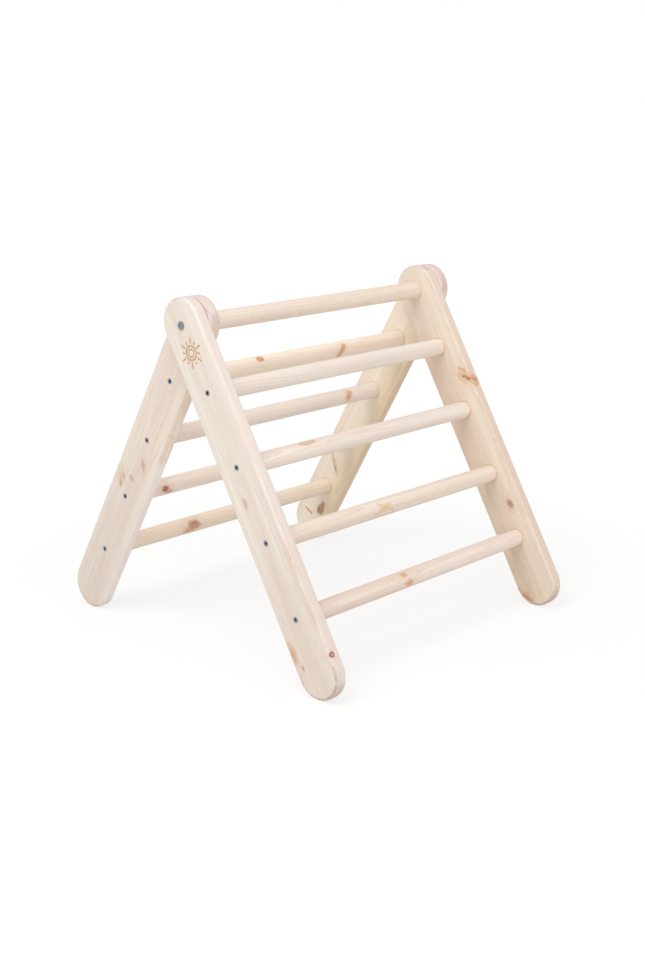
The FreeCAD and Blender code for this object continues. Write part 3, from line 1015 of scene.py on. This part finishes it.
# Arguments of rail_pine. An arris is a stretch of rounded edge with painted shade:
# (side in x, side in y, low z, high z, strength).
RAIL_LOOKS = {
    "front_left_rail": dict(
        rings=(-OUTER_MID + 50.0, 2.0, 3.1, 0.007), seed=2.1, pinkness=0.36, contrast=0.75,
        band=(2.0, 17.0, 0.45), sun=True, bolt_face=-285.0,
        tints=(-560.0, -200.0, (0.984, 0.985, 1.03), (1.045, 1.075, 1.125)),
        bands=0.1, end_tint=(0.99, 1.04, 1.06), head_tint=(0.925, 0.90, 0.915),
        edge_tint=(0.925, 0.90, 0.915),
        arris=[(-1, -1, -574.0, -534.0, 0.62), (-1, 1, -574.0, -540.0, 0.40),
               (1, -1, -24.0, 36.0, 0.75)],
        streaks=[
            Streak(-36.5, -400, -345, 1.5, 0.55), Streak(-36.0, -478, -440, 1.8, 0.45),
            Streak(-31.0, -470, -330, 1.0, 0.28), Streak(-22.0, -520, -250, 0.9, 0.28),
            Streak(35.0, -575, -525, 1.6, 0.5, slope=-0.15),
            Streak(30.0, -420, -120, 0.9, 0.22), Streak(24.0, -560, -380, 0.9, 0.25),
            Streak(7.0, -500, -300, 0.8, 0.2)],
        knots=[
            Knot((-275, 10.7, -273.8), 3.8, "pink", 0.5, 2.0,
                 soft=0.7, solid=0.75, rim=0.50, halo=0.7, ragged=1.0),
            Knot((-284, 33.5, -502.0), 6.8, "tan", 1.0, (3.6, 2.2), (1, 0.5, 0.25),
                 soft=0.8, solid=0.98, rim=0.45, halo=0.6, swell=0.4, ragged=1.5),
            Knot((-284, 22.0, -520.5), 2.4, "brown", 0.5, (1.1, 2.0), soft=0.8, solid=0.82),
            Knot((-280.0, -39.0, -517.5), 4.3, "bark", 0.8, 1.0, (0.15, 1, 0),
                 solid=1.0, rim=1.0, ragged=0.4, pale=1.0)]),
    "rear_left_rail": dict(
        rings=(-INNER_MID + 62.0, -14.0, 3.3, -0.010), seed=5.4, pinkness=0.48, contrast=0.9,
        band=(-6.0, 14.0, 0.5),
        tints=(-520.0, -120.0, (0.965, 0.965, 1.01), (1.04, 1.055, 1.08)),
        bands=0.6, end_tint=(0.97, 0.97, 0.98), head_tint=(0.88, 0.82, 0.81),
        edge_tint=(1.10, 1.13, 1.21),
        streaks=[
            Streak(-38.0, -240, -80, 1.6, 0.65),
            Streak(37.0, -95, -52, 2.0, 0.6, srgb(214, 170, 122)),
            Streak(26.0, -240, -130, 1.1, 0.35), Streak(14.0, -330, -180, 1.0, 0.25),
            Streak(-22.0, -420, -240, 1.0, 0.3), Streak(33.0, -320, -301, 1.1, 0.7, wave=1.0)],
        knots=[
            Knot((-264.2, -11.5, -264.0), 4.2, "umber", 0.30, 1.0, (0.47, 0.44, 0.77),
                 soft=0.9, solid=0.55, halo=0.5, ragged=0.7),
            Knot((-264.2, 1.3, -300.8), 3.5, "umber", 0.35, 1.0, (0.55, 0.80, 0.2),
                 soft=0.9, solid=0.60, rim=0.20),
            Knot((-263, 25.0, -312.0), 4.6, "ochre", 0.4, (4.2, 2.8), (1, 0.1, 0.4),
                 soft=0.9, solid=0.22, swell=0.8, ragged=1.2),
            Knot((-264.2, 22.6, -317.0), 1.4, "ochre", 0.5, 1.0, (0.05, 0.5, 0.866),
                 soft=0.9, solid=0.55, rim=0.2, halo=0.3, swell=0.1, ragged=1.4, reach=10.0),
            Knot((-264.2, 17.5, -311.0), 4.2, "umber", 0.1, 1.0, (0.5, 0.43, 0.75),
                 soft=1.0, solid=0.45, rim=0.0, halo=0.3, swell=0.1, ragged=1.2),
            Knot((-264.2, 18.6, -325.0), 3.4, "ochre", 0.85, 1.0, (0.50, 0.43, 0.75),
                 soft=0.8, solid=0.85, rim=0.35, swell=0.4, ragged=1.3)]),
    "front_right_rail": dict(
        rings=(INNER_MID + 55.0, 12.0, 3.6, 0.010), seed=9.7, pinkness=0.35, contrast=0.65,
        band=(0.0, 16.0, 0.35),
        tints=(-540.0, -300.0, (0.95, 0.93, 0.90), (0.99, 0.98, 0.965)),
        # across is painted shade, darker towards +y.
        across=(-28.0, 26.0, (1.01, 1.01, 1.01), (0.96, 0.90, 0.86)),
        bands=0.4, end_tint=(1.0, 1.01, 1.02), head_tint=(0.93, 0.885, 0.875),
        arris=[(-1, -1, -430.0, 0.0, 0.20)],
        streaks=[
            Streak(-37.0, -330, -210, 1.4, 0.3), Streak(-30.0, -560, -300, 1.0, 0.25),
            Streak(-14.0, -160, -100, 1.2, 0.35, srgb(222, 184, 152), slope=-0.2),
            Streak(18.0, -480, -160, 0.9, 0.25)],
        knots=[
            Knot((244.2, -28.0, -171.0), 8.6, "tan", 0.85, 1.5, (1, 1, 0),
                 soft=0.5, solid=0.75, rim=0.55, halo=0.5, swell=0.7, ragged=1.8, reach=60.0),
            Knot((250.0, -39.0, -185.0), 6.6, "rust", 0.10, 1.4, (1, 1, 0),
                 soft=0.4, solid=0.55, rim=0.6, halo=0.4, swell=0.4, ragged=1.8, reach=60.0),
            Knot((244.2, -27.0, -171.5), 1.6, "ember", 0.7, 1.0, (0.1, 1.0, 0.35),
                 soft=0.9, solid=0.85, rim=0.4, halo=0.5, swell=0.2, ragged=2.2, reach=4.5),
            Knot((244.2, -34.0, -178.0), 2.0, "ember", 0.7, 1.0, (0.1, 1.0, 1.0),
                 soft=0.9, solid=0.85, rim=0.4, halo=0.5, swell=0.2, ragged=2.2, reach=5.5),
            Knot((250.0, -39.0, -182.0), 1.8, "rust", 0.9, 1.0, (1.0, 0.05, -0.55),
                 soft=0.9, solid=0.85, rim=0.4, halo=0.5, swell=0.2, ragged=2.0, reach=8.0),
            Knot((244.2, -28.5, -160.0), 0.8, "brown", 0.6, 1.0, (0.05, 1.0, 0.9),
                 soft=0.9, solid=0.6, rim=0.1, halo=0.1, swell=0.1, ragged=1.2, reach=13.0),
            Knot((246, -15.4, -398.2), 6.0, "dull", 0.6, 1.3,
                 soft=0.6, solid=0.9, rim=0.5, halo=0.7),
            Knot((245.5, 34.5, -541.0), 1.6, "rust", 0.8, 1.0, (0.1, -0.35, -1.0),
                 soft=0.8, solid=0.9, halo=0.4, swell=0.3, ragged=1.4, reach=10.0),
            Knot((246, 27.0, -556.0), 8.5, "brown", 0.2, 1.3, (1, 0.2, 0.3),
                 soft=1.0, solid=0.35, rim=0.1, halo=0.8, swell=0.3, ragged=1.8),
            Knot((245.5, 26.0, -554.5), 2.3, "rust", 0.6, 1.0, (0.1, -1.0, -1.05),
                 soft=0.8, solid=0.95, rim=0.4, halo=0.6, swell=0.4, ragged=1.6, reach=14.0),
            Knot((245.5, 19.0, -569.5), 2.2, "red", 1.0, 1.0, (0.1, -1.0, -0.5),
                 soft=0.7, solid=0.95, rim=0.4, halo=0.5, swell=0.3, ragged=1.5, reach=9.0)]),
    "rear_right_rail": dict(
        rings=(OUTER_MID + 52.0, -8.0, 3.4, -0.010), seed=14.6, pinkness=0.30, contrast=0.7,
        tints=(-520.0, -120.0, (1.08, 1.09, 1.07), (1.08, 1.08, 1.04)),
        # across is painted shade, darker towards -y.
        across=(-34.0, 4.0, (0.93, 0.87, 0.78), (1.0, 1.0, 1.0)),
        bands=0.4, end_tint=(0.92, 0.88, 0.90), head_tint=(0.89, 0.83, 0.84),
        streaks=[
            Streak(6.0, -411, -384, 2.3, 1.0, srgb(180, 122, 76), slope=1.15, wave=0.8),
            Streak(1.0, -416, -397, 1.9, 1.0, srgb(104, 64, 40), slope=1.15, wave=0.5),
            Streak(11.5, -412, -388, 1.3, 0.6, slope=1.1, wave=1.0),
            Streak(24.0, -380, -180, 0.9, 0.22)],
        knots=[
            Knot((266, -12.5, -507.0), 7.8, "dull", 0.80, (2.7, 1.0),
                 solid=0.95, rim=0.6, halo=0.5),
            Knot((266, 10.0, -526.0), 2.2, "ember", 0.3, 1.0, (0.05, 1.0, 0.02),
                 soft=0.6, solid=0.85, halo=0.3, swell=0.2, ragged=1.0, reach=12.0)]),
}
for node, side, ladder, middle_x, shape_seed in RAILS:
    board = make_rail(node, side, ladder, shape_seed)
    set_material(board, rail_pine(node + "_pine", ladder, side, middle_x, **RAIL_LOOKS[node]))
    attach(board, ladder + "_ladder")


# ---------------------------------------------------------------- rungs
def rung_pine(name, location, *, tint, right_tint=None, **wood):
    """Pine for a dowel, turned so that the grain is along z."""
    net = Material(name)
    point = net.point(location=location)
    along_normal = net.split(net.normal())[0]
    row_x, row_y, row_z = net.split(point)
    point = net.vec(row_y, row_z, row_x)
    z = net.split(point)[2]
    facing = net.smooth(-4.0, 6.0, z, 0.0, 0.0) + net.math("ABSOLUTE", along_normal)
    layers = lay_wood(net, point, net.smooth(0.42, 0.92, facing), **wood)
    return finish_pine(net, z, (-200.0, 200.0, tint, right_tint or tint), *layers)


def rung_knot(angle, x, radius, tone, dark, long, spin=None, **more):
    """A knot that meets a dowel at this angle in the frame's y-z plane (0 is +y, 90 is up).

    With spin, the branch runs along the surface instead: spin is its slope, in mm along the
    dowel for each mm down the side.
    """
    turn = math.radians(angle)
    cos, sin = math.cos(turn), math.sin(turn)
    if spin is None:
        at, branch = (0.0, 0.0, x), (cos, sin, 0.0)
    else:
        at, branch = ((RUNG_R - 1.0) * cos, (RUNG_R - 1.0) * sin, x), (-sin, cos, -spin)
    return Knot(at, radius, tone, dark, long, branch, side=(cos, sin, 0.0), **more)


# Arguments of rung_pine. tint and right_tint, at a rung's left and right end, are the wood's tone
# and partly painted light, lightening or darkening each rung as the light falls on it.
RUNG_LOOKS = {
    "top_rung": dict(
        rings=(30.0, 18.0, 3.4, 0.010), seed=3.3, pinkness=0.50, contrast=0.95,
        tint=(0.98, 0.955, 0.955), right_tint=(0.99, 0.95, 0.935),
        knots=[
            rung_knot(-150, -131.7, 2.2, "ochre", 0.4, 1.6, soft=0.9, solid=0.5, rim=0.1),
            rung_knot(-152, -51.3, 2.2, "ochre", 0.3, 2.0, soft=0.9, solid=0.4, rim=0.1),
            rung_knot(-178, -156.2, 1.5, "ochre", 0.3, 1.8, soft=0.9, solid=0.4, rim=0.1)]),
    "front_rung_1": dict(
        rings=(20.0, -34.0, 3.0, 0.010), seed=6.8, pinkness=0.55, contrast=0.85,
        tint=(1.01, 1.03, 1.08),
        knots=[rung_knot(172, -20, 2.2, "ochre", 0.2, 1.8, soft=0.9, solid=0.25, rim=0.0)]),
    "front_rung_2": dict(
        rings=(-24.0, 22.0, 3.0, -0.015), seed=11.9, pinkness=0.5, contrast=1.05,
        tint=(1.015, 1.04, 1.09),
        knots=[rung_knot(112, -143.0, 4.0, "clay", 0.30, (3.8, 4.4),
                         soft=0.5, solid=0.6, rim=0.75)]),
    "front_rung_3": dict(
        rings=(-20.0, 28.0, 3.2, 0.018), seed=17.2, pinkness=0.5, contrast=1.05,
        tint=(1.0, 0.99, 0.99),
        knots=[
            rung_knot(168, -41.0, 4.2, "tan", 0.75, (3.0, 2.6),
                      soft=1.0, solid=0.90, rim=0.2, ragged=1.7),
            rung_knot(164, -38.0, 2.4, "tan", 0.8, 1.0, spin=-2.3,
                      soft=1.0, solid=0.72, rim=0.15, ragged=1.7, reach=23.0, swell=0.3),
            rung_knot(174, -48.0, 2.6, "tan", 0.8, 1.0, spin=2.6,
                      soft=1.0, solid=0.75, rim=0.15, ragged=1.7, reach=24.0, swell=0.3)]),
    "front_rung_4": dict(
        rings=(34.0, -24.0, 3.1, 0.010), seed=22.4, pinkness=0.55, contrast=0.9,
        tint=(0.945, 0.92, 0.925), right_tint=(1.02, 1.01, 1.05),
        knots=[
            rung_knot(122, -57.0, 4.6, "rust", 0.45, 1.4,
                      soft=0.8, solid=0.85, rim=0.4, ragged=1.4),
            rung_knot(-174, -49.4, 5.6, "rust", 0.60, 1.8,
                      soft=0.8, solid=0.9, rim=0.2, ragged=1.3)]),
    "rear_rung_1": dict(
        rings=(-34.0, 24.0, 3.1, 0.010), seed=27.5, pinkness=0.4, contrast=0.95,
        tint=(1.15, 1.15, 1.15),
        knots=[
            rung_knot(127, -83.5, 5.2, "clay", 0.75, 1.3, solid=0.9, rim=1.0),
            rung_knot(176, 103.0, 5.0, "clay", 0.40, 1.0, spin=0.85,
                      soft=0.5, solid=0.95, reach=17.0, swell=0.5)]),
    "rear_rung_2": dict(
        rings=(28.0, 34.0, 3.2, -0.012), seed=33.1, pinkness=0.42, contrast=0.95,
        tint=(1.03, 1.04, 1.09),
        knots=[
            rung_knot(162, 186.0, 6.0, "clay", 0.35, 1.0, spin=0.85,
                      soft=0.7, solid=0.85, reach=11.0, ragged=1.1),
            rung_knot(130, 180.0, 2.0, "rust", 0.4, 1.0, spin=-1.0,
                      soft=0.9, solid=0.40, rim=0.2, reach=6.0, swell=0.3, ragged=1.4)]),
    "rear_rung_3": dict(
        rings=(-30.0, -26.0, 2.8, 0.014), seed=38.6, pinkness=0.6, contrast=1.1,
        tint=(1.11, 1.14, 1.17),
        knots=[
            rung_knot(-152, -183.0, 4.0, "rust", 0.75, 2.2,
                      soft=0.9, solid=0.95, rim=0.1, ragged=1.3),
            rung_knot(-179, -191.2, 5.0, "ember", 0.75, (1.2, 1.5),
                      soft=0.5, solid=1.0, rim=0.5, halo=0.9)]),
    "rear_rung_4": dict(
        rings=(26.0, 28.0, 3.1, -0.014), seed=44.2, pinkness=0.45, contrast=1.0,
        tint=(1.07, 1.05, 1.0),
        knots=[
            rung_knot(-160, -95.0, 5.0, "clay", 0.55, 2.0,
                      soft=0.8, solid=0.9, rim=0.2, ragged=1.3),
            rung_knot(166, -80.5, 8.6, "dull", 0.85, 1.4,
                      soft=0.6, solid=0.9, rim=0.4, halo=0.7, ragged=1.2)]),
}
for node, look in RUNG_LOOKS.items():
    if node == "top_rung":
        ladder, tilt, drop = "front", 0.0, 0.0
    else:
        ladder = node.split("_")[0]
        tilt, drop = TILT[ladder], RUNG_DROPS[int(node[-1]) - 1]
    dowel = make_rung(node, tilt, drop, look["seed"])
    centre = Matrix.Rotation(math.radians(tilt), 3, "X") @ Vector((0, 0, -drop))
    centre += Vector((0, 0, PIVOT_Z))
    set_material(dowel, rung_pine(node + "_pine", tuple(-centre), **look))
    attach(dowel, ladder + "_ladder")


# ---------------------------------------------------------------- hardware, as loaded
def dress(node, material):
    piece = frame["nodes"][node]
    for slot in piece.material_slots:
        slot.link = "OBJECT"
        slot.material = material
    if not piece.material_slots:
        piece.data.materials.append(material)


for corner, face_x in (("front_left", -OUTER_X), ("rear_left", -INNER_X),
                       ("front_right", INNER_X), ("rear_right", OUTER_X)):
    dress(corner + "_screws", zinc("zinc_" + corner, face_x))
plain_zinc = zinc("zinc_plain")
for node in ("pivot_bolt_left", "pivot_bolt_right", "spacer_washer_left",
             "spacer_washer_right"):
    dress(node, plain_zinc)
insert_brass = brass("brass_insert")
for node in ("threaded_insert_left", "threaded_insert_right"):
    dress(node, insert_brass)


# ---------------------------------------------------------------- stage
def floor_material():
    """To the camera, near white with a faint shadow; to other rays, a pale diffuse floor."""
    net = Material("pale_floor")
    x, y, _ = net.split(Output(net, net.coordinates.outputs["Object"]))
    # The lit floor near the piece gives way to plain white further out, in metres.
    far = net.smooth(0.30, 1.2, net.math("SQRT", x * x + y * y), 0.70, 1.0)
    net.surface({"Base Color": (0.93, 0.93, 0.93, 1), "Roughness": 0.85,
                 "Specular IOR Level": 0.1})
    white = net.output(0, "ShaderNodeEmission", {"Color": (1, 1, 1, 1), "Strength": 1.03})
    seen = net.mix_shader(far, Output(net, net.bsdf.outputs[0]), white)
    bounce = net.output(0, "ShaderNodeBsdfDiffuse", {"Color": (0.76, 0.755, 0.74, 1)})
    is_camera = net.output("Is Camera Ray", "ShaderNodeLightPath")
    net.put(net.end_node.inputs["Surface"], net.mix_shader(is_camera, bounce, seen))
    return net.material


def make_floor():
    disc = bmesh.new()
    bmesh.ops.create_circle(disc, cap_ends=True, segments=96, radius=30.0)
    mesh = bpy.data.meshes.new("floor")
    disc.to_mesh(mesh)
    disc.free()
    floor = bpy.data.objects.new("floor", mesh)
    scene.collection.objects.link(floor)
    floor.location.z = cad_lo.z - 0.0002
    mesh.materials.append(floor_material())


def make_world():
    """White to the camera, softer and slightly warm as a light."""
    world = bpy.data.worlds.new("studio")
    scene.world = world
    world.use_nodes = True
    net = Graph(world.node_tree)
    net.tree.nodes.clear()
    end_node = net.node("ShaderNodeOutputWorld")
    seen = net.output(0, "ShaderNodeBackground", ((1, 1, 1, 1), 1.0))
    light = net.output(0, "ShaderNodeBackground", ((1.0, 0.995, 0.985, 1), 0.70))
    is_camera = net.output("Is Camera Ray", "ShaderNodeLightPath")
    net.put(end_node.inputs["Surface"], net.mix_shader(is_camera, light, seen))


def softbox(name, place, size, power, colour=(1, 1, 1), target=(0, 0, 0.3)):
    light = bpy.data.lights.new(name, "AREA")
    light.shape = "RECTANGLE"
    light.size, light.size_y = size
    light.energy = power
    light.color = colour
    lamp = bpy.data.objects.new(name, light)
    scene.collection.objects.link(lamp)
    lamp.location = place
    lamp.rotation_mode = "QUATERNION"
    lamp.rotation_quaternion = (Vector(target) - Vector(place)).to_track_quat("-Z", "Y")
    lamp.visible_camera = False


def make_camera():
    """In front and to the left, looking slightly down."""
    right = Vector((0.68343, -0.73002, -0.00039))
    up = Vector((0.19374, 0.18086, 0.96424))
    back = Vector((-0.70384, -0.65906, 0.26504))
    data = bpy.data.cameras.new("camera")
    camera = bpy.data.objects.new("camera", data)
    scene.collection.objects.link(camera)
    pose = Matrix((right, up, back)).transposed().to_4x4()
    pose.translation = Vector((-1.62797, -1.53679, 0.82522))
    camera.matrix_world = pose
    data.sensor_fit = "AUTO"
    data.sensor_width = 36.0
    data.lens = 52.753961
    data.clip_start, data.clip_end = 0.05, 60.0
    scene.camera = camera


make_floor()
make_world()
softbox("key", place=(-1.6, -0.2, 2.6), size=(1.7, 1.7), power=29.0, colour=(1.0, 0.995, 0.98))
softbox("fill", place=(-0.8, -3.0, 0.9), size=(2.4, 2.0), power=22.5)
make_camera()
scene.view_settings.view_transform = "Standard"
scene.view_settings.look = "None"
scene.view_settings.exposure = 0.0
scene.view_settings.gamma = 1.0
